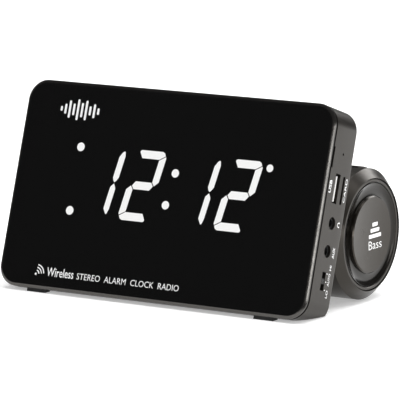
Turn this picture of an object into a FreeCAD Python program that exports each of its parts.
"""Clock radio: a leaning display slab carried on a horizontal speaker cylinder.

The slab frame is used for every piece: x runs along the slab's width, y runs
back from its flat front face and z runs up along that face.  The whole set is
then leaned back by one shared placement, so the feet stand on the plane z = 0.
"""
import FreeCAD
import Part
import Sketcher
import math
import os
import re

Vector = FreeCAD.Vector
Rotation = FreeCAD.Rotation

doc = FreeCAD.newDocument("clock_radio")
sheet = doc.addObject("Spreadsheet::Sheet", "dims")

# ---------------------------------------------------------------- sizes (mm)
SIZES = {
    # the slab
    "slab_width": 161.1,
    "slab_height": 95.3,
    "slab_depth": 21.5,
    "corner_radius": 9.5,
    "rear_round": 1.5,
    "tilt_angle": 17.9,
    "wall": 2.2,
    # stacking of the front edge, back from the flat face
    "bezel_slope": 0.7,
    "bezel_edge": 0.7,
    "lens_inset": 1.36,
    "groove_width": 1.4,
    "groove_depth": 0.6,
    "lens_thick": 2.0,
    "cover_step": 0.06,
    # how the set stands
    "edge_lift": 1.957,
    "underside_gap": 0.3,
    "pad_height": 0.8,
    "set_back": -31.09,
    # the speaker cylinder
    "tube_radius": 29.4,
    "tube_wall": 2.4,
    "saddle_depth": 0.9,
    "crest_short": 0.95,
    "shoulder_long": 3.8,
    "shoulder_high": 4.0,
    "flange_rim": 8.0,
    "ring_rim": 4.5,
    "ring_wide": 1.35,
    "plate_rim": 12.0,
    "plate_gap": 0.08,
    # keys on top of the cylinder
    "strip_half": 8.0,
    "strip_thick": 0.5,
    "key_wide": 7.4,
    "key_deep": 10.0,
    "key_pitch": 10.0,
    "key_gap": 0.25,
    "snooze_wide": 32.0,
    # speakers
    "aim_angle": 54.0,
    "driver_offset": 28.5,
    "driver_set": 8.4,
    "driver_radius": 14.0,
    "grille_radius": 15.3,
    "hole_radius": 0.7,
    "hole_pitch": 2.3,
    # figures
    "digit_height": 32.2,
    "digit_width": 15.6,
    "slant_angle": 9.8,
    "figure_middle": 3.5,
}
for row, (word, value) in enumerate(SIZES.items(), start=1):
    sheet.set("A%d" % row, word)
    sheet.set("B%d" % row, str(value))
    sheet.setAlias("B%d" % row, word)
doc.recompute()

# sizes that follow from the ones above, written as formulas
SIDE = "(slab_width / 2)"
TOP = "(slab_height / 2)"
TRIM_BACK = "(bezel_slope + bezel_edge)"
COVER_FRONT = "(bezel_slope + bezel_edge + groove_width)"
REAR_INSIDE = "(slab_depth - wall)"
AXIS_Y = "(slab_depth - saddle_depth + tube_radius)"
TABLE_DROP = "(slab_height / 2 * cos(tilt_angle) + edge_lift)"
AXIS_Z = ("((tube_radius + pad_height - " + TABLE_DROP + " + " + AXIS_Y
          + " * sin(tilt_angle)) / cos(tilt_angle))")
CREST = "(slab_width / 2 - crest_short)"
SHOULDER = "(slab_width / 2 - crest_short - shoulder_long)"
SEAT = "(slab_width / 2 - crest_short - 2.2)"
FLANGE = "(slab_width / 2 - crest_short - 4.2)"
TUBE_INSIDE = "(tube_radius - tube_wall)"
DRIVER_X = "(slab_width / 2 - driver_offset)"
BOARD_FRONT = "(slab_depth - 8.5)"
BOARD_BACK = "(slab_depth - 6.9)"
PORT_FACE = "(slab_width / 2 - wall - 0.15)"
RING_OUT = "(tube_radius - ring_rim)"
RING_IN = "(tube_radius - ring_rim - ring_wide)"
PLATE_EDGE = "(tube_radius - plate_rim)"
DRIVER_FACE = "(tube_radius - driver_set)"


def formula(text):
    """Write a size so that every sheet word points at its cell."""
    return re.sub(r"[a-z][a-z_]*",
                  lambda m: "dims." + m.group(0) if m.group(0) in SIZES else m.group(0),
                  str(text))


def bind(item, slot, text):
    item.setExpression(slot, formula(text))


def place(item, x=0, y=0, z=0, axis=None, angle=None):
    """Put an item somewhere; the angle, if given, may be a formula."""
    if axis is not None:
        item.Placement = FreeCAD.Placement(Vector(), Rotation(Vector(*axis), 10))
        bind(item, "Placement.Rotation.Angle", angle)
    bind(item, "Placement.Base.x", x)
    bind(item, "Placement.Base.y", y)
    bind(item, "Placement.Base.z", z)
    return item


def block(name, xs, ys, zs):
    """A box given by its two ends along each direction."""
    item = doc.addObject("Part::Box", name)
    bind(item, "Length", "(%s) - (%s)" % (xs[1], xs[0]))
    bind(item, "Width", "(%s) - (%s)" % (ys[1], ys[0]))
    bind(item, "Height", "(%s) - (%s)" % (zs[1], zs[0]))
    return place(item, xs[0], ys[0], zs[0])


TURNS = {"x": ((0, 1, 0), 90), "y": ((-1, 0, 0), 90), "z": ((0, 0, 1), 0),
         "aim": ((-1, 0, 0), "aim_angle")}


def rod(name, radius, length, x, y, z, along):
    """A cylinder whose flat end is centred on x, y, z."""
    item = doc.addObject("Part::Cylinder", name)
    bind(item, "Radius", radius)
    bind(item, "Height", length)
    axis, angle = TURNS[along]
    return place(item, x, y, z, axis, angle)


def fuse(name, *items):
    if len(items) == 1:
        return items[0]
    item = doc.addObject("Part::MultiFuse", name)
    item.Shapes = list(items)
    return item


def group(name, *items):
    item = doc.addObject("Part::Compound", name)
    item.Links = list(items)
    return item


def cut(name, base, *tools):
    item = doc.addObject("Part::Cut", name)
    item.Base = base
    item.Tool = fuse(name + "_tools", *tools)
    return item


def common(name, base, tool):
    item = doc.addObject("Part::Common", name)
    item.Base = base
    item.Tool = tool
    return item


def mirror(name, source):
    """The same piece on the other side of the middle."""
    item = doc.addObject("Part::Mirroring", name)
    item.Source = source
    item.Normal = Vector(1, 0, 0)
    item.Base = Vector(0, 0, 0)
    return item


def plane(body, role):
    return [one for one in body.Origin.OriginFeatures if one.Role == role][0]


def outline(name, points, role, depth=0):
    """A body holding a closed sketch whose corners are formulas."""
    body = doc.addObject("PartDesign::Body", name + "_body")
    sketch = body.newObject("Sketcher::SketchObject", name + "_sketch")
    sketch.AttachmentSupport = [(plane(body, role), "")]
    sketch.MapMode = "FlatFace"
    doc.recompute()
    probe = [(value(px), value(pz)) for px, pz in points]
    count = len(points)
    for index in range(count):
        here, there = probe[index], probe[(index + 1) % count]
        sketch.addGeometry(Part.LineSegment(Vector(here[0], here[1], 0),
                                            Vector(there[0], there[1], 0)), False)
    for index in range(count):
        sketch.addConstraint(Sketcher.Constraint("Coincident", index, 2, (index + 1) % count, 1))
    for index, (px, pz) in enumerate(points):
        for kind, text, size in (("DistanceX", px, probe[index][0]),
                                 ("DistanceY", pz, probe[index][1])):
            slot = sketch.addConstraint(Sketcher.Constraint(kind, -1, 1, index, 1, size))
            bind(sketch, "Constraints[%d]" % slot, text)
    if depth != 0:
        bind(sketch, "AttachmentOffset.Base.z", "-1 * (%s)" % depth)
    return body, sketch


def value(text):
    """The number a formula stands for, used only to lay a sketch out."""
    words = dict(SIZES)
    text = str(text)
    for word in sorted(words, key=len, reverse=True):
        text = re.sub(r"\b%s\b" % word, repr(words[word]), text)
    probe = doc.getObject("probe") or doc.addObject("App::FeaturePython", "probe")
    if not hasattr(probe, "Number"):
        probe.addProperty("App::PropertyFloat", "Number")
    probe.setExpression("Number", text)
    probe.recompute()
    return probe.Number


def plate(name, half_x, half_z, front, back, radius, rear_round=None, slope=None):
    """A rounded rectangular plate standing across y, between front and back.

    slope, if given, is how far its front edge is cut away inwards and backwards.
    """
    corners = [("-1 * (%s)" % half_x, "-1 * (%s)" % half_z), (half_x, "-1 * (%s)" % half_z),
               (half_x, half_z), ("-1 * (%s)" % half_x, half_z)]
    body, sketch = outline(name, corners, "XZ_Plane", front)
    pad = body.newObject("PartDesign::Pad", name + "_pad")
    pad.Profile = sketch
    pad.Reversed = True
    bind(pad, "Length", "(%s) - (%s)" % (back, front))
    doc.recompute()
    last = pad
    edges = ["Edge%d" % (k + 1) for k, edge in enumerate(pad.Shape.Edges)
             if abs(edge.tangentAt(edge.FirstParameter).y) > 0.99]
    if radius is not None:
        last = body.newObject("PartDesign::Fillet", name + "_corners")
        last.Base = (pad, edges)
        bind(last, "Radius", radius)
        doc.recompute()
    if rear_round is not None:
        far = max(v.Y for v in last.Shape.Vertexes)
        edges = ["Edge%d" % (k + 1) for k, edge in enumerate(last.Shape.Edges)
                 if all(abs(v.Y - far) < 1e-6 for v in edge.Vertexes)]
        rounded = body.newObject("PartDesign::Fillet", name + "_rear")
        rounded.Base = (last, edges)
        bind(rounded, "Radius", rear_round)
        doc.recompute()
        last = rounded
    if slope is not None:
        near = min(v.Y for v in last.Shape.Vertexes)
        edges = ["Edge%d" % (k + 1) for k, edge in enumerate(last.Shape.Edges)
                 if all(abs(v.Y - near) < 1e-6 for v in edge.Vertexes)]
        sloped = body.newObject("PartDesign::Chamfer", name + "_bevel")
        sloped.Base = (last, edges)
        sloped.ChamferType = 1
        sloped.FlipDirection = True
        bind(sloped, "Size", slope[0])
        bind(sloped, "Size2", slope[1])
        doc.recompute()
        last = sloped
    body.Tip = last
    return body


def turned(name, points, along="x", x=0, y=0, z=0):
    """A turned piece: corners are (along the axis, distance from the axis)."""
    if along == "x":
        body, sketch = outline(name, points, "XZ_Plane")
        reference = "H_Axis"
    else:
        body, sketch = outline(name, [(far, near) for near, far in points], "XZ_Plane")
        reference = "V_Axis"
    spin = body.newObject("PartDesign::Revolution", name + "_spin")
    spin.Profile = sketch
    spin.ReferenceAxis = (sketch, [reference])
    spin.Angle = 360.0
    body.Tip = spin
    if along == "aim":
        place(body, x, y, z, *TURNS["aim"])
    else:
        place(body, x, y, z)
    return body


NODES = []


def node(name, *items):
    """Wrap finished pieces as one named sub-part in the shared placement."""
    item = group(name, *items)
    item.Label = name
    place(item, 0, "set_back", TABLE_DROP, (-1, 0, 0), "tilt_angle")
    NODES.append(item)
    return item


def above(name, gap):
    """Everything higher than a level plane, gap above the table."""
    item = doc.addObject("Part::Box", name)
    bind(item, "Length", "slab_width + 40")
    bind(item, "Width", "slab_depth + 160")
    bind(item, "Height", "slab_height + 160")
    rise = "(%s - %s)" % (gap, TABLE_DROP)
    # the box is turned forward by the lean, so its floor is level on the table
    place(item, "-1 * (slab_width / 2 + 20)",
          "-40 * cos(tilt_angle) - %s * sin(tilt_angle)" % rise,
          "-40 * sin(tilt_angle) + %s * cos(tilt_angle)" % rise,
          (1, 0, 0), "tilt_angle")
    return item


# ------------------------------------------------------- the speaker cylinder
def tube_profile():
    """Half of the cylinder's outer line, from the middle to the right end."""
    return [(SHOULDER, "tube_radius"),
            (CREST, "(tube_radius - shoulder_high)"),
            (CREST, "(%s + 0.3)" % RING_OUT)]


def both_ends(points):
    left = [("-1 * " + px, pr) for px, pr in points]
    return points + left[::-1]


outer = turned("tube_outer", both_ends(tube_profile() + [(CREST, "0")]), "x", 0, AXIS_Y, AXIS_Z)
hollow = turned("tube_hollow", both_ends([(FLANGE, TUBE_INSIDE), (FLANGE, "0")]),
                "x", 0, AXIS_Y, AXIS_Z)
mouth = turned("tube_mouth", both_ends([(SEAT, "(%s + 0.3)" % RING_OUT), (SEAT, "0")]),
               "x", 0, AXIS_Y, AXIS_Z)
seat_bore = rod("tube_bore", "tube_radius - flange_rim", "slab_width + 20",
                "-1 * (slab_width / 2 + 10)", AXIS_Y, AXIS_Z, "x")
mouth_right = rod("mouth_right", "%s + 0.3" % RING_OUT, "10", SEAT, AXIS_Y, AXIS_Z, "x")
mouth_left = mirror("mouth_left", mouth_right)
shell_ring = cut("shell_ring", outer, hollow, seat_bore, mouth_right, mouth_left)


def axis_y(step):
    return "(%s + %s)" % (AXIS_Y, step)


def axis_z(step):
    return "(%s + %s)" % (AXIS_Z, step)


FAR = "(slab_width / 2 + 20)"
upper_half = block("upper_half", ("-1 * " + FAR, FAR), (axis_y("-60"), axis_y("60")),
                   (AXIS_Z, axis_z("60")))
lower_half = block("lower_half", ("-1 * " + FAR, FAR), (axis_y("-60"), axis_y("60")),
                   (axis_z("-60"), AXIS_Z))
inner_space = rod("inner_space", "(tube_radius - 1)", "slab_width + 20",
                  "-1 * (slab_width / 2 + 10)", AXIS_Y, AXIS_Z, "x")
seam_box = block("seam_box", ("-1 * " + FAR, FAR), (axis_y("-40"), axis_y("40")),
                 (axis_z("-0.15"), axis_z("0.15")))
seam_core = rod("seam_core", "(tube_radius - 0.5)", "slab_width + 20",
                "-1 * (slab_width / 2 + 10)", AXIS_Y, AXIS_Z, "x")
seam_line = cut("seam_line", seam_box, seam_core)

# screw positions: through the lower shell into the upper, and slab to cylinder
SCREW_X = "(slab_width / 2 - 9.6)"
NECK_X = "(slab_width / 2 - 30.5)"
shell_bosses = []
shell_screw_holes = []
shell_screws = []
for side in ("1", "-1"):
    for step in ("(0.72 * tube_radius)", "(-0.72 * tube_radius)"):
        px = "%s * %s" % (side, SCREW_X)
        tag = "%s%s" % ("r" if side == "1" else "l", "b" if step.startswith("(0") else "f")
        shell_bosses.append(rod("boss_" + tag, "3.4", "2 * tube_radius", px, axis_y(step),
                                axis_z("-1 * tube_radius"), "z"))
        shank = rod("shank_" + tag, "1.1", "21.5", px, axis_y(step), axis_z("-13.5"), "z")
        head = rod("head_" + tag, "2.4", "1.6", px, axis_y(step), axis_z("-15"), "z")
        drive = rod("drive_" + tag, "0.9", "0.9", px, axis_y(step), axis_z("-15.1"), "z")
        shell_screws.append(cut("shell_screw_" + tag, fuse("screw_raw_" + tag, head, shank), drive))
        shell_screw_holes.append(shank)
        shell_screw_holes.append(rod("sink_" + tag, "2.5", "16.6", px, axis_y(step),
                                     axis_z("-30"), "z"))

# four neck screws pass the slab's back wall into bosses in the two shells
neck_holes = []
neck_screws = []
neck_bosses = []
for side in ("1", "-1"):
    for step in ("5.5", "-5.5"):
        px = "%s * %s" % (side, NECK_X)
        tag = "%s%s" % ("r" if side == "1" else "l", "u" if step == "5.5" else "d")
        shank = rod("neck_shank_" + tag, "1.2", "8.4", px, "%s - 0.1" % REAR_INSIDE,
                    axis_z(step), "y")
        head = rod("neck_head_" + tag, "2.6", "1.6", px, "%s - 1.6" % REAR_INSIDE,
                   axis_z(step), "y")
        drive = rod("neck_drive_" + tag, "1.0", "1.0", px, "%s - 1.7" % REAR_INSIDE,
                    axis_z(step), "y")
        neck_screws.append(cut("neck_screw_" + tag, fuse("neck_raw_" + tag, head, shank), drive))
        neck_holes.append(shank)
        neck_bosses.append(rod("neck_boss_" + tag, "3.2", "9", px,
                               axis_y("-1 * tube_radius"), axis_z(step), "y"))

# the loom runs from the main board through the saddle to the amplifier board
LOOM_X = "24"
loom_level = rod("loom_level", "1.6", "(%s + 9.6)" % AXIS_Y + " - (%s) - 20" % BOARD_BACK,
                 LOOM_X, BOARD_BACK, AXIS_Z, "y")
loom_drop = rod("loom_drop", "1.6", "12.4", LOOM_X,
                "(%s - 10.4)" % AXIS_Y, axis_z("-12.4"), "z")
loom_bend = doc.addObject("Part::Sphere", "loom_bend")
loom_bend.Radius = 1.6
place(loom_bend, LOOM_X, "(%s - 10.4)" % AXIS_Y, AXIS_Z)
loom_hole = rod("loom_hole", "1.7", "14", LOOM_X, "%s - 2" % REAR_INSIDE, AXIS_Z, "y")

# speaker openings, aimed up and to the rear
def aimed(step):
    """A point on a driver's axis, so far out from the cylinder's axis."""
    return (axis_y("(%s) * sin(aim_angle)" % step), axis_z("(%s) * cos(aim_angle)" % step))


open_y, open_z = aimed(DRIVER_FACE)
mount_tube = rod("mount_tube", "driver_radius + 1.2", "12", DRIVER_X, open_y, open_z, "aim")
mount_left = mirror("mount_left", mount_tube)
low_y, low_z = aimed("10")
throat = rod("throat", "driver_radius - 1", "30", DRIVER_X, open_y, open_z, "aim")
throat_left = mirror("throat_left", throat)
ledge_rod = rod("ledge_rod", "grille_radius + 0.1", "30", DRIVER_X, low_y, low_z, "aim")
ledge_core = rod("ledge_core", "tube_radius - 1.4", "slab_width", "0", AXIS_Y, AXIS_Z, "x")
ledge = cut("ledge", ledge_rod, ledge_core)
ledge_left = mirror("ledge_left", ledge)

# key openings
KEY_X = ["0"] + ["%s * (snooze_wide / 2 + 1 + key_pitch * %.1f)" % (sign, 0.5 + k)
                 for sign in ("1", "-1") for k in range(4)]
KEY_HALF = ["snooze_wide / 2"] + ["key_wide / 2"] * 8
KEY_NAMES = ["snooze_key"] + ["key_right_%d" % k for k in range(1, 5)] \
    + ["key_left_%d" % k for k in range(1, 5)]
key_slots = []
for word, px, half in zip(KEY_NAMES, KEY_X, KEY_HALF):
    key_slots.append(block(word + "_slot",
                           ("%s - (%s) - key_gap" % (px, half), "%s + (%s) + key_gap" % (px, half)),
                           (axis_y("-1 * key_deep / 2 - key_gap"), axis_y("key_deep / 2 + key_gap")),
                           (axis_z("20"), axis_z("40"))))

# posts that carry the key board under the upper shell
board_posts = []
key_board_screws = []
key_board_holes = []
for side in ("1", "-1"):
    px = "%s * (slab_width / 2 - 18)" % side
    tag = "r" if side == "1" else "l"
    board_posts.append(rod("key_post_" + tag, "2.4", "8", px, AXIS_Y,
                           axis_z("tube_radius - 6.2"), "z"))
    shank = rod("key_shank_" + tag, "0.9", "4.4", px, AXIS_Y, axis_z("tube_radius - 7.5"), "z")
    head = rod("key_head_" + tag, "1.8", "1.2", px, AXIS_Y, axis_z("tube_radius - 8.6"), "z")
    key_board_holes.append(shank)
    key_board_screws.append(fuse("key_screw_" + tag, head, shank))

upper_inside = fuse("upper_inside", *(shell_bosses + neck_bosses + board_posts
                                      + [mount_tube, mount_left]))
upper_fill = common("upper_fill", upper_inside, inner_space)
upper_raw = common("upper_raw", fuse("upper_all", shell_ring, upper_fill), upper_half)
upper_shell = cut("upper_shell_made", upper_raw, seam_line, throat, throat_left, ledge, ledge_left,
                  loom_hole, *(shell_screw_holes + neck_holes + key_slots + key_board_holes))
node("upper_shell", upper_shell)

# lower shell with posts for the amplifier board, the supply inlet and a vent row
amp_posts = []
amp_screws = []
amp_holes = []
for side in ("1", "-1"):
    for step in ("12.5", "-12.5"):
        px = "%s * (slab_width / 2 - 27)" % side
        tag = "%s%s" % ("r" if side == "1" else "l", "b" if step == "12.5" else "f")
        amp_posts.append(rod("amp_post_" + tag, "2.6", "18", px, axis_y(step), axis_z("-32"), "z"))
        shank = rod("amp_shank_" + tag, "1.0", "7", px, axis_y(step), axis_z("-19.4"), "z")
        head = rod("amp_head_" + tag, "2.0", "1.3", px, axis_y(step), axis_z("-12.4"), "z")
        amp_holes.append(shank)
        amp_screws.append(fuse("amp_screw_" + tag, shank, head))
inlet_hole = rod("inlet_hole", "4.2", "20", "-20", axis_y("20"), axis_z("-7.9"), "y")
lower_fill = common("lower_fill", fuse("lower_inside", *(shell_bosses + neck_bosses + amp_posts)),
                    inner_space)
amp_clear = block("amp_clear", ("-1 * (slab_width / 2 - 20)", "(slab_width / 2 - 20)"),
                  (axis_y("-17.2"), axis_y("17.2")), (axis_z("-14"), axis_z("-1")))
lower_raw = common("lower_raw", fuse("lower_all", shell_ring, lower_fill), lower_half)
vents = [block("vent_%d" % k, ("-22 + 4 * %d" % k, "-20.4 + 4 * %d" % k),
               (axis_y("-9"), axis_y("9")), (axis_z("-32"), axis_z("-20")))
         for k in range(1, 10)]
lower_shell = cut("lower_shell_made", lower_raw, seam_line, loom_hole, inlet_hole,
                  *(shell_screw_holes + neck_holes + amp_holes + vents))
node("lower_shell", lower_shell)
node("wire_loom", fuse("loom_made", loom_level, loom_bend, loom_drop))

# end trim and radiators, right side first, the left side mirrored
ring = turned("ring_right", [(SEAT, RING_IN), (SEAT, RING_OUT), ("(%s + 1.6)" % SEAT, RING_OUT),
                             ("(%s + 1.8)" % SEAT, "(%s - 0.2)" % RING_OUT),
                             ("(%s + 1.8)" % SEAT, "(%s + 0.2)" % RING_IN),
                             ("(%s + 1.6)" % SEAT, RING_IN)], "x", 0, AXIS_Y, AXIS_Z)
node("end_ring_right", ring)
node("end_ring_left", mirror("ring_left", ring))

roll_blank = turned("roll_blank", [(SEAT, "(%s + plate_gap)" % PLATE_EDGE), (SEAT, "(%s - 0.5)" % RING_IN),
                                   ("(%s + 1.7)" % SEAT, "(%s - 0.5)" % RING_IN),
                                   ("(%s + 1.7)" % SEAT, "(%s + plate_gap)" % PLATE_EDGE)],
                    "x", 0, AXIS_Y, AXIS_Z)
trough = doc.addObject("Part::Torus", "trough")
bind(trough, "Radius1", "(%s + 1.8)" % PLATE_EDGE)
trough.Radius2 = 8.0
place(trough, "(%s + 8.75)" % SEAT, AXIS_Y, AXIS_Z, (0, 1, 0), "90")
roll = cut("roll_right", roll_blank, trough)
node("radiator_surround_right", roll)
node("radiator_surround_left", mirror("roll_left", roll))

disc_blank = turned("disc_blank", [("(%s - 4.4)" % SEAT, "0"), ("(%s - 4.4)" % SEAT, "9"),
                                   ("(%s - 1)" % SEAT, "9"), ("(%s - 1)" % SEAT, PLATE_EDGE),
                                   ("(%s + 2.0)" % SEAT, PLATE_EDGE),
                                   ("(%s + 2.5)" % SEAT, "(%s - 0.5)" % PLATE_EDGE),
                                   ("(%s + 2.5)" % SEAT, "0")], "x", 0, AXIS_Y, AXIS_Z)
dish = doc.addObject("Part::Sphere", "dish")
dish.Radius = 181.0
place(dish, "(%s + 1.7 + 181)" % SEAT, AXIS_Y, AXIS_Z)
disc = cut("disc_right", disc_blank, dish)
node("radiator_plate_right", disc)
node("radiator_plate_left", mirror("disc_left", disc))

# ------------------------------------------------------------- the two speakers
holes = [rod("grille_hole_0", "hole_radius", "40", DRIVER_X, low_y, low_z, "aim")]
for ring_no in range(1, 6):
    for k in range(6 * ring_no):
        turn = math.radians(360.0 * k / (6 * ring_no))
        out_x = "hole_pitch * %.5f" % (ring_no * math.cos(turn))
        out_s = "hole_pitch * %.5f" % (ring_no * math.sin(turn))
        holes.append(rod("grille_hole_%d_%d" % (ring_no, k), "hole_radius", "40",
                         "%s + %s" % (DRIVER_X, out_x),
                         "%s - %s * cos(aim_angle)" % (low_y, out_s),
                         "%s + %s * sin(aim_angle)" % (low_z, out_s), "aim"))
grille_skin = cut("grille_skin",
                  rod("grille_outer", "tube_radius - 0.3", "slab_width / 2 + 10", "0",
                      AXIS_Y, AXIS_Z, "x"),
                  rod("grille_core", "tube_radius - 1.4", "slab_width / 2 + 12", "-1",
                      AXIS_Y, AXIS_Z, "x"))
grille_blank = common("grille_blank", grille_skin,
                      rod("grille_round", "grille_radius", "30", DRIVER_X, low_y, low_z, "aim"))
grille = doc.addObject("Part::Cut", "grille_right")
grille.Base = grille_blank
grille.Tool = group("grille_holes", *holes)
node("speaker_grille_right", grille)
node("speaker_grille_left", mirror("grille_left", grille))


def driver(name, points):
    """One turned speaker piece, given as (out from the cylinder's axis, radius)."""
    return turned(name, points, "aim", DRIVER_X, AXIS_Y, AXIS_Z)


FRONT = DRIVER_FACE
RIM = "driver_radius"
basket = driver("basket_right", [
    (FRONT, "(%s - 1.6)" % RIM), (FRONT, RIM), ("(%s - 2)" % FRONT, RIM),
    ("(%s - 2)" % FRONT, "(%s - 1.4)" % RIM), ("(%s - 10)" % FRONT, "(%s - 4.6)" % RIM),
    ("(%s - 10)" % FRONT, "3.4"), ("(%s - 9)" % FRONT, "3.4"),
    ("(%s - 9)" % FRONT, "(%s - 5.3)" % RIM), ("(%s - 1)" % FRONT, "(%s - 2.1)" % RIM),
    ("(%s - 1)" % FRONT, "(%s - 1.6)" % RIM)])
magnet = driver("magnet_right", [
    ("(%s - 16)" % FRONT, "0"), ("(%s - 16)" % FRONT, "9"), ("(%s - 10)" % FRONT, "9"),
    ("(%s - 10)" % FRONT, "3.3"), ("(%s - 13.5)" % FRONT, "3.3"),
    ("(%s - 13.5)" % FRONT, "2.4"), ("(%s - 10)" % FRONT, "2.4"), ("(%s - 10)" % FRONT, "0")])
cone = driver("cone_right", [
    ("(%s - 6.1)" % FRONT, "0"), ("(%s - 6.1)" % FRONT, "2.9"),
    ("(%s - 1.4)" % FRONT, "(%s - 3.4)" % RIM), ("(%s - 1.7)" % FRONT, "(%s - 3.1)" % RIM),
    ("(%s - 6.7)" % FRONT, "3"), ("(%s - 11.5)" % FRONT, "3"),
    ("(%s - 11.5)" % FRONT, "2.7"), ("(%s - 6.7)" % FRONT, "2.7"), ("(%s - 6.7)" % FRONT, "0")])
edge_roll = driver("edge_right", [
    ("(%s - 1.7)" % FRONT, "(%s - 3)" % RIM), ("(%s - 1.1)" % FRONT, "(%s - 3)" % RIM),
    ("(%s - 0.4)" % FRONT, "(%s - 2.5)" % RIM), ("(%s - 0.4)" % FRONT, "(%s - 1.6)" % RIM),
    ("(%s - 1)" % FRONT, "(%s - 1.6)" % RIM), ("(%s - 1)" % FRONT, "(%s - 2.1)" % RIM),
    ("(%s - 1.7)" % FRONT, "(%s - 2.6)" % RIM)])
for word, made in (("driver_basket", basket), ("driver_magnet", magnet),
                   ("driver_cone", cone), ("driver_surround", edge_roll)):
    node(word + "_right", made)
    node(word + "_left", mirror(word + "_other", made))

# --------------------------------------------------------------- keys and strip
strip_skin = cut("strip_skin",
                 rod("strip_outer", "tube_radius + strip_thick", "2 * (%s - 8)" % CREST,
                     "-1 * (%s - 8)" % CREST, AXIS_Y, AXIS_Z, "x"),
                 rod("strip_core", "tube_radius", "2 * %s" % CREST, "-1 * %s" % CREST,
                     AXIS_Y, AXIS_Z, "x"))
strip_band = block("strip_band", ("-1 * (%s - 8)" % CREST, "(%s - 8)" % CREST),
                   (axis_y("-1 * strip_half"), axis_y("strip_half")), (axis_z("10"), axis_z("40")))
node("key_strip", cut("strip_made", common("strip_blank", strip_skin, strip_band), *key_slots))


def key(word, px, half):
    """A key cap with a rounded crown and a flange that keeps it under the shell."""
    body, sketch = outline(word + "_cap", [
        ("(%s) - (%s)" % (px, half), axis_y("-1 * key_deep / 2")),
        ("(%s) + (%s)" % (px, half), axis_y("-1 * key_deep / 2")),
        ("(%s) + (%s)" % (px, half), axis_y("key_deep / 2")),
        ("(%s) - (%s)" % (px, half), axis_y("key_deep / 2"))], "XY_Plane")
    bind(sketch, "AttachmentOffset.Base.z", axis_z("(tube_radius - 3.4)"))
    pad = body.newObject("PartDesign::Pad", word + "_pad")
    pad.Profile = sketch
    bind(pad, "Length", "4.5")
    doc.recompute()
    corners = ["Edge%d" % (k + 1) for k, edge in enumerate(pad.Shape.Edges)
               if abs(edge.tangentAt(edge.FirstParameter).z) > 0.99]
    soft = body.newObject("PartDesign::Fillet", word + "_corners")
    soft.Base = (pad, corners)
    soft.Radius = 1.2
    doc.recompute()
    high = max(v.Z for v in soft.Shape.Vertexes)
    rim = ["Edge%d" % (k + 1) for k, edge in enumerate(soft.Shape.Edges)
           if all(abs(v.Z - high) < 1e-6 for v in edge.Vertexes)]
    crown = body.newObject("PartDesign::Fillet", word + "_crown")
    crown.Base = (soft, rim)
    crown.Radius = 0.4
    body.Tip = crown
    flange = block(word + "_flange",
                   ("(%s) - (%s) - 0.7" % (px, half), "(%s) + (%s) + 0.7" % (px, half)),
                   (axis_y("-1 * key_deep / 2 - 0.6"), axis_y("key_deep / 2 + 0.6")),
                   (axis_z("tube_radius - 4.2"), axis_z("tube_radius - 3.3")))
    return fuse(word + "_made", body, flange)


for word, px, half in zip(KEY_NAMES, KEY_X, KEY_HALF):
    node(word, key(word, px, half))

key_board = block("key_board_blank",
                  ("-1 * (slab_width / 2 - 14)", "(slab_width / 2 - 14)"),
                  (axis_y("-5.2"), axis_y("5.2")),
                  (axis_z("tube_radius - 7.4"), axis_z("tube_radius - 6.2")))
node("key_board", cut("key_board_made", key_board, *key_board_holes))
switches = []
for word, px in zip(KEY_NAMES, KEY_X):
    can = block(word + "_can", ("%s - 2.2" % px, "%s + 2.2" % px),
                (axis_y("-2.2"), axis_y("2.2")),
                (axis_z("tube_radius - 6.2"), axis_z("tube_radius - 5.5")))
    dome = rod(word + "_dome", "1.0", "0.9", px, AXIS_Y, axis_z("tube_radius - 6.1"), "z")
    switches.append(fuse(word + "_switch", can, dome))
node("key_switches", *switches)

# ------------------------------------------------------- amplifier and the inlet
amp_blank = block("amp_blank", ("-1 * (slab_width / 2 - 22)", "(slab_width / 2 - 22)"),
                  (axis_y("-16"), axis_y("16")), (axis_z("-14"), axis_z("-12.4")))
node("amp_board", cut("amp_board_made", amp_blank, *amp_holes))
sink = [block("fin_%d" % k, ("2 + 2.4 * %d" % k, "3.2 + 2.4 * %d" % k),
              (axis_y("-2"), axis_y("10")), (axis_z("-11.4"), axis_z("-5"))) for k in range(6)]
sink_foot = block("sink_foot", ("2", "15.2"), (axis_y("-2"), axis_y("10")),
                  (axis_z("-12.4"), axis_z("-11.2")))
node("amp_heatsink", fuse("heatsink_made", sink_foot, *sink))
cans = [rod("can_%d" % k, "3.1", "7", "-6 - 8 * %d" % k, axis_y("-8"), axis_z("-12.4"), "z")
        for k in range(3)]
node("amp_capacitors", *cans)
inlet_body = block("inlet_body", ("-24.5", "-15.5"), (axis_y("tube_radius - 18.4"), axis_y("tube_radius - 6")),
                   (axis_z("-12.4"), axis_z("-3.4")))
inlet_nose = rod("inlet_nose", "4.0", "4.0", "-20", axis_y("tube_radius - 6.2"),
                 axis_z("-7.9"), "y")
inlet_well = rod("inlet_well", "2.9", "11", "-20", axis_y("tube_radius - 11.9"),
                 axis_z("-7.9"), "y")
inlet_pin = rod("inlet_pin", "1.0", "8.5", "-20", axis_y("tube_radius - 12"),
                axis_z("-7.9"), "y")
node("power_inlet", fuse("inlet_made", cut("inlet_hollow", fuse("inlet_raw", inlet_body, inlet_nose),
                                           inlet_well), inlet_pin))

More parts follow.
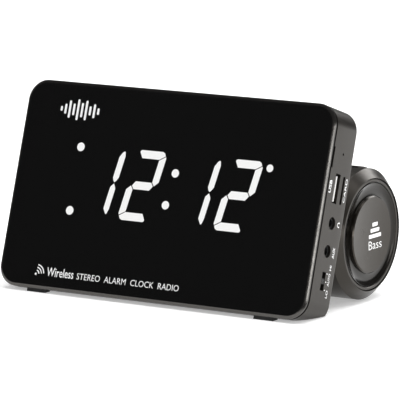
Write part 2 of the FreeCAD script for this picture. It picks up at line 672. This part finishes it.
# rear pads hug the underside of the cylinder and are flat on the table
pads = []
for side in ("1", "-1"):
    tag = "r" if side == "1" else "l"
    pad_box = doc.addObject("Part::Box", "pad_box_" + tag)
    pad_box.Length = 16
    pad_box.Width = 11
    pad_box.Height = 4
    px = "%s * (slab_width / 2 - 32.5) - 8" % side
    low = "(tube_radius + pad_height)"
    place(pad_box, px,
          axis_y("%s * sin(tilt_angle) - 5.5 * cos(tilt_angle)" % low),
          axis_z("-1 * %s * cos(tilt_angle) - 5.5 * sin(tilt_angle)" % low),
          (1, 0, 0), "tilt_angle")
    pads.append(cut("pad_" + tag, pad_box, rod("pad_core_" + tag, "tube_radius", "slab_width",
                                               "-1 * slab_width / 2", AXIS_Y, AXIS_Z, "x")))
node("rear_pads", *pads)

# ---------------------------------------------------------------------- the slab
lens_plate = plate("lens_plate", "%s - lens_inset" % SIDE, "%s - lens_inset" % TOP, "0",
                   "lens_thick", "corner_radius - lens_inset")


def lean(px, pz, middle):
    """Size a corner of a bar to its figure and lean it to the right."""
    wide = "(%s) * digit_width / 15.6" % px
    tall = "(%s) * digit_height / 32.2" % pz
    return ("(%s + %s + %s * tan(slant_angle))" % (middle, wide, tall),
            "(figure_middle + %s)" % tall)


def turned_over(corners):
    """The same bar at the opposite corner of the figure."""
    return [(-px, -pz) for px, pz in corners]


# the bars of a figure before it leans, in mm about its middle, for one 15.6 wide and 32.2 tall
BAR_TOP = [(-5.9, 16.1), (5.2, 16.1), (6.4, 15.5), (7.2, 14.2), (4.4, 12.45), (-4.6, 12.45),
           (-6.4, 15.0), (-6.5, 15.6)]
BAR_RIGHT = [(4.5, 12.05), (7.5, 13.9), (7.8, 13.1), (7.8, 2.2), (5.9, 0.3), (4.5, 1.95)]
BAR_MIDDLE = [(-4.1, 1.8), (4.1, 1.8), (5.4, 0.2), (4.1, -1.8), (-4.1, -1.8), (-5.4, -0.2)]
ONE_UPPER = [(4.8, 12.0), (5.9, 14.1), (6.8, 14.7), (7.2, 14.3), (7.8, 12.5), (7.8, 2.6),
             (7.0, 1.1), (6.3, 0.4), (5.5, 1.1), (4.8, 2.5)]
ONE_LOWER = [(4.9, -2.6), (5.0, -1.7), (6.3, -0.2), (7.4, -1.7), (7.8, -2.7), (7.8, -12.0),
             (7.4, -13.9), (6.9, -14.4), (6.3, -13.7), (4.9, -11.8)]
ONE = [ONE_UPPER, ONE_LOWER]
TWO = [BAR_TOP, BAR_RIGHT, BAR_MIDDLE, turned_over(BAR_RIGHT), turned_over(BAR_TOP)]
figures = []
for place_no, (middle, bars) in enumerate((("-33.2", ONE), ("-11.9", TWO),
                                           ("16.8", ONE), ("38.0", TWO))):
    for bar_no, corners in enumerate(bars):
        word = "figure_%d_%d" % (place_no, bar_no)
        body, sketch = outline(word, [lean(px, pz, middle) for px, pz in corners], "XZ_Plane")
        pad = body.newObject("PartDesign::Pad", word + "_pad")
        pad.Profile = sketch
        pad.Reversed = True
        bind(pad, "Length", "lens_thick")
        figures.append(body)
DOTS = [("4.1", "10.6", "1.9"), ("1.7", "-4.0", "1.9"), ("-47.7", "18.3", "2.0"),
        ("-48.0", "-10.9", "2.0"), ("51.7", "17.0", "1.7")]
for dot_no, (px, pz, radius) in enumerate(DOTS):
    figures.append(rod("dot_%d" % dot_no, radius, "lens_thick", px, "0", pz, "y"))
lens_posts = []
stakes = []
for sx in ("1", "-1"):
    for sz in ("1", "-1"):
        tag = sx.replace("-1", "l").replace("1", "r") + sz.replace("-1", "d").replace("1", "u")
        px = "%s * (slab_width / 2 - 16)" % sx
        pz = "%s * (slab_height / 2 - 18)" % sz
        lens_posts.append(rod("lens_post_" + tag, "2.4", "4.2", px, "lens_thick - 0.2", pz, "y"))
        stakes.append(rod("stake_" + tag, "1.0", "6.2", px, "lens_thick - 0.2", pz, "y"))
figure_cut = group("figure_windows", *figures)
lens_blank = fuse("lens_blank", lens_plate, *(lens_posts + stakes))
lens = doc.addObject("Part::Cut", "lens_made")
lens.Base = lens_blank
lens.Tool = figure_cut
node("front_lens", lens)
node("lit_figures", *figures)

trim_outer = plate("trim_outer", SIDE, TOP, "0", TRIM_BACK, "corner_radius", None,
                   ("lens_inset - 0.04", "bezel_slope"))
trim_inner = plate("trim_inner", "%s - lens_inset" % SIDE, "%s - lens_inset" % TOP,
                   "-1", "%s + 1" % TRIM_BACK, "corner_radius - lens_inset")
node("trim_ring", cut("trim_made", trim_outer, trim_inner))

# front frame: the dark groove, a ledge for the lens and a skirt inside the cover
frame_band = plate("frame_band", "%s - groove_depth" % SIDE, "%s - groove_depth" % TOP,
                   TRIM_BACK, COVER_FRONT, "corner_radius - groove_depth")
frame_skirt = plate("frame_skirt", "%s - wall - 0.4" % SIDE, "%s - wall - 0.4" % TOP,
                    "%s - 0.4" % COVER_FRONT, "%s + 2.2" % COVER_FRONT,
                    "corner_radius - wall - 0.4")
frame_seat = plate("frame_seat", "%s - lens_inset" % SIDE, "%s - lens_inset" % TOP,
                   "%s - 1" % TRIM_BACK, "lens_thick", "corner_radius - lens_inset")
frame_window = plate("frame_window", "%s - 5" % SIDE, "%s - 5" % TOP, "0", "12",
                     "corner_radius - 5")
COVER_SCREWS = [("1", "(slab_width / 2 - 10.5)", "(slab_height / 2 - 6.6)"),
                ("-1", "(slab_width / 2 - 10.5)", "(slab_height / 2 - 6.6)"),
                ("1", "(slab_width / 2 - 18.5)", "(-1 * slab_height / 2 + 8.5)"),
                ("-1", "(slab_width / 2 - 18.5)", "(-1 * slab_height / 2 + 8.5)")]
frame_posts = []
cover_bosses = []
cover_sinks = []
cover_shanks = []
cover_screws = []
for number, (sign, px, pz) in enumerate(COVER_SCREWS):
    cx = "%s * %s" % (sign, px)
    tag = str(number)
    end = "1" if number < 2 else "-1"
    frame_posts.append(rod("frame_post_" + tag, "2.8", "6", cx, "lens_thick", pz, "y"))
    web_ends = ("%s - 0.5" % pz, "slab_height / 2 - 4") if number < 2 else \
        ("-1 * (slab_height / 2 - 4)", "%s + 0.5" % pz)
    frame_posts.append(block("frame_web_" + tag, ("%s - 1.5" % cx, "%s + 1.5" % cx),
                             ("lens_thick", "lens_thick + 2.6"), web_ends))
    cover_bosses.append(rod("cover_boss_" + tag, "2.9", "%s - lens_thick - 6" % "slab_depth",
                            cx, "lens_thick + 6", pz, "y"))
    cover_sinks.append(rod("cover_sink_" + tag, "2.5", "20", cx, "slab_depth - 3.4", pz, "y"))
    shank = rod("cover_shank_" + tag, "1.1", "slab_depth - 3.4 - 4.4", cx, "4.5", pz, "y")
    head = rod("cover_head_" + tag, "2.4", "1.6", cx, "slab_depth - 3.4", pz, "y")
    drive = rod("cover_drive_" + tag, "0.9", "1.0", cx, "slab_depth - 2.7", pz, "y")
    cover_shanks.append(shank)
    cover_screws.append(cut("cover_screw_" + tag, fuse("cover_screw_raw_" + tag, shank, head),
                            drive))
frame_ring = cut("frame_ring", fuse("frame_outer", frame_band, frame_skirt),
                 frame_seat, frame_window)
node("front_frame", cut("frame_made", fuse("frame_all", frame_ring, *frame_posts), *cover_shanks))
node("case_screws", *(shell_screws + neck_screws + cover_screws))

# rear cover: a tub with a level underside, ports on the right and a saddle behind
cover_outer = plate("cover_outer", "%s - cover_step" % SIDE, "%s - cover_step" % TOP,
                    COVER_FRONT, "slab_depth", "corner_radius", "rear_round")
cover_inner = plate("cover_inner", "%s - wall" % SIDE, "%s - wall" % TOP,
                    "%s - 2" % COVER_FRONT, REAR_INSIDE, "corner_radius - wall")
level_outer = above("level_outer", "underside_gap")
level_inner = above("level_inner", "(underside_gap + wall)")
cover_block = common("cover_block", cover_outer, level_outer)
cover_space = common("cover_space", cover_inner, level_inner)
cover_tub = cut("cover_tub", cover_block, cover_space)

OUT = "%s + 2" % SIDE
IN = "%s - wall - 1" % SIDE
ports = [
    block("usb_opening", (IN, OUT), ("8.0", "12.05"), ("5.7", "18.7")),
    block("card_opening", (IN, OUT), ("14.8", "16.5"), ("6.1", "18.4")),
    block("dimmer_opening", (IN, OUT), ("9.9", "12.9"), ("-32.6", "-24.4")),
    rod("headphone_opening", "2.8", "10", "%s - wall - 1" % SIDE, "11.2", "-3.0", "x"),
    rod("aux_opening", "2.8", "10", "%s - wall - 1" % SIDE, "11.2", "-15.35", "x"),
    block("seam_notch", (IN, OUT), ("%s - 1" % COVER_FRONT, "%s + 0.8" % COVER_FRONT),
          ("20.5", "29.8")),
    rod("mic_opening", "0.6", "10", "%s - wall - 1" % SIDE, "11.5", "27.6", "x"),
]
board_bosses = []
board_screws = []
board_shanks = []
for tag, px, pz in (("a", "24", "31"), ("b", "24", "-28"),
                    ("c", "(slab_width / 2 - 10.6)", "33"), ("d", "(slab_width / 2 - 22.5)", "-29")):
    board_bosses.append(rod("board_boss_" + tag, "2.4", "%s + 0.2 - %s" % (REAR_INSIDE, BOARD_BACK),
                            px, BOARD_BACK, pz, "y"))
    shank = rod("board_shank_" + tag, "1.0", "5.6", px, "%s - 0.1" % BOARD_FRONT, pz, "y")
    head = rod("board_head_" + tag, "2.0", "1.3", px, "%s - 1.3" % BOARD_FRONT, pz, "y")
    board_shanks.append(shank)
    board_screws.append(fuse("board_screw_" + tag, shank, head))
cover_solid = fuse("cover_solid", cover_tub, common("cover_boss_set",
                                                    fuse("cover_boss_all", *cover_bosses),
                                                    cover_block), *board_bosses)
node("rear_cover", cut("cover_made", cover_solid, outer, loom_hole,
                       *(ports + cover_sinks + cover_shanks + board_shanks + neck_holes)))

# front feet: two small blocks under the front edge, flat on the table
feet = []
table = above("table_plane", "0")
for side in ("1", "-1"):
    tag = "r" if side == "1" else "l"
    px = "%s * (slab_width / 2 - 20.85)" % side
    foot_box = block("foot_box_" + tag, ("%s - 5" % px, "%s + 5" % px), ("1.5", "5.3"),
                     ("-1 * slab_height / 2 - 3", "-1 * slab_height / 2 + cover_step"))
    feet.append(common("foot_" + tag, foot_box, table))
node("front_feet", *feet)

# ------------------------------------------------------------ inside the slab
digit_block = block("digit_block_blank", ("-52", "56"), ("lens_thick + 0.05", "5.9"), ("-17", "23"))
node("digit_block", digit_block)
display_blank = block("display_blank", ("-1 * (slab_width / 2 - 12)", "(slab_width / 2 - 12)"),
                      ("5.9", "7.3"), ("-1 * (slab_height / 2 - 14)", "(slab_height / 2 - 14)"))
node("display_board", cut("display_made", display_blank, *lens_posts, *stakes))
node("board_link", block("board_link_blank", ("32", "36"), ("7.3", BOARD_FRONT), ("-14", "18")))
main_blank = block("main_blank", ("18", "%s - 0.4" % PORT_FACE), (BOARD_FRONT, BOARD_BACK),
                   ("-33.9", "37"))
node("main_board", cut("main_made", main_blank, *board_shanks))
node("board_screws", *(key_board_screws + amp_screws + board_screws))

usb_shell = block("usb_shell", ("%s - 14" % PORT_FACE, PORT_FACE), ("7.5", BOARD_FRONT),
                  ("5.2", "19.2"))
usb_room = block("usb_room", ("%s - 12.5" % PORT_FACE, "%s + 1" % PORT_FACE), ("8.1", "12.0"),
                 ("5.8", "18.6"))
node("usb_socket", cut("usb_shell_made", usb_shell, usb_room))
node("usb_tongue", block("usb_tongue_blank", ("%s - 12.5" % PORT_FACE, "%s - 0.5" % SIDE),
                         ("9.3", "10.2"), ("6.4", "17.6")))
card_shell = block("card_shell", ("%s - 15" % PORT_FACE, PORT_FACE), (BOARD_BACK, "16.9"),
                   ("4.6", "19.9"))
card_room = block("card_room", ("%s - 14" % PORT_FACE, "%s + 1" % PORT_FACE), ("15.0", "16.3"),
                  ("6.3", "18.2"))
node("card_socket", cut("card_made", card_shell, card_room))


def jack(word, pz):
    """A 3.5 mm socket: a block with a collar that shows in the side wall."""
    body = block(word + "_block", ("%s - 14" % PORT_FACE, PORT_FACE), ("8.2", BOARD_FRONT),
                 ("%s - 3.3" % pz, "%s + 3.3" % pz))
    collar = rod(word + "_collar", "2.7", "wall - 0.95", "%s - 0.1" % PORT_FACE, "11.2", pz, "x")
    bore = rod(word + "_bore", "1.8", "20", "%s - 14.2" % SIDE, "11.2", pz, "x")
    return cut(word + "_made", fuse(word + "_raw", body, collar), bore)


node("headphone_jack", jack("headphone", "(-3.0)"))
node("aux_jack", jack("aux", "(-15.35)"))
dimmer_case = block("dimmer_case", ("%s - 6" % PORT_FACE, PORT_FACE), ("9.2", BOARD_FRONT),
                    ("-33.8", "-23.2"))
dimmer_room = block("dimmer_room", ("%s - 4" % PORT_FACE, "%s + 1" % PORT_FACE), ("10.0", "12.8"),
                    ("-32.5", "-24.5"))
node("dimmer_switch", cut("dimmer_made", dimmer_case, dimmer_room))
slider_stem = block("slider_stem", ("%s - 3.9" % PORT_FACE, "%s - 0.1" % SIDE), ("10.2", "12.6"),
                    ("-29.7", "-27.3"))
slider_grips = [block("grip_%d" % k, ("%s - 0.4" % SIDE, "%s + 1" % SIDE), ("10.0", "12.8"),
                      ("-29.35 + 0.8 * %d" % k, "-29.05 + 0.8 * %d" % k)) for k in range(3)]
node("dimmer_slider", cut("slider_made", slider_stem, *slider_grips))
node("microphone", block("mic_blank", ("%s - 4" % PORT_FACE, PORT_FACE), ("10.0", BOARD_FRONT),
                         ("26.1", "29.1")))
chips = [block("chip_main", ("44", "56"), ("11.4", BOARD_FRONT), ("-4", "8")),
         block("chip_radio", ("44", "51"), ("11.8", BOARD_FRONT), ("-20", "-13")),
         block("chip_memory", ("44", "50"), ("12.0", BOARD_FRONT), ("16", "24"))]
chips.append(block("tuner_can", ("22", "31"), ("9.6", BOARD_FRONT), ("-22", "-10")))
node("main_chips", *chips)
holder = rod("holder_blank", "7.4", "2.8", "46", BOARD_BACK, "-12", "y")
holder_room = rod("holder_room", "6.3", "4", "46", "%s + 0.6" % BOARD_BACK, "-12", "y")
node("cell_holder", cut("holder_made", holder, holder_room))
node("backup_cell", rod("cell_blank", "6.2", "2.0", "46", "%s + 0.6" % BOARD_BACK, "-12", "y"))

# ------------------------------------------------------------ check and write
doc.recompute()
troubles = []
for item in doc.Objects:
    if any(word in ("Invalid", "Error") for word in item.State):
        troubles.append("%s: %s" % (item.Name, item.State))
for item in NODES:
    if item.Shape.isNull() or not item.Shape.isValid() or not item.Shape.Solids:
        troubles.append("%s: empty or broken shape" % item.Label)
if troubles:
    raise SystemExit("\n".join(troubles))

os.makedirs("parts", exist_ok=True)
whole = FreeCAD.BoundBox()
for item in NODES:
    item.Shape.exportStep("parts/%s.step" % item.Label)
    whole.add(item.Shape.BoundBox)
    print("%-26s %2d solids %9.1f mm3" % (item.Label, len(item.Shape.Solids), item.Shape.Volume))
print("nodes", len(NODES), "box", whole)
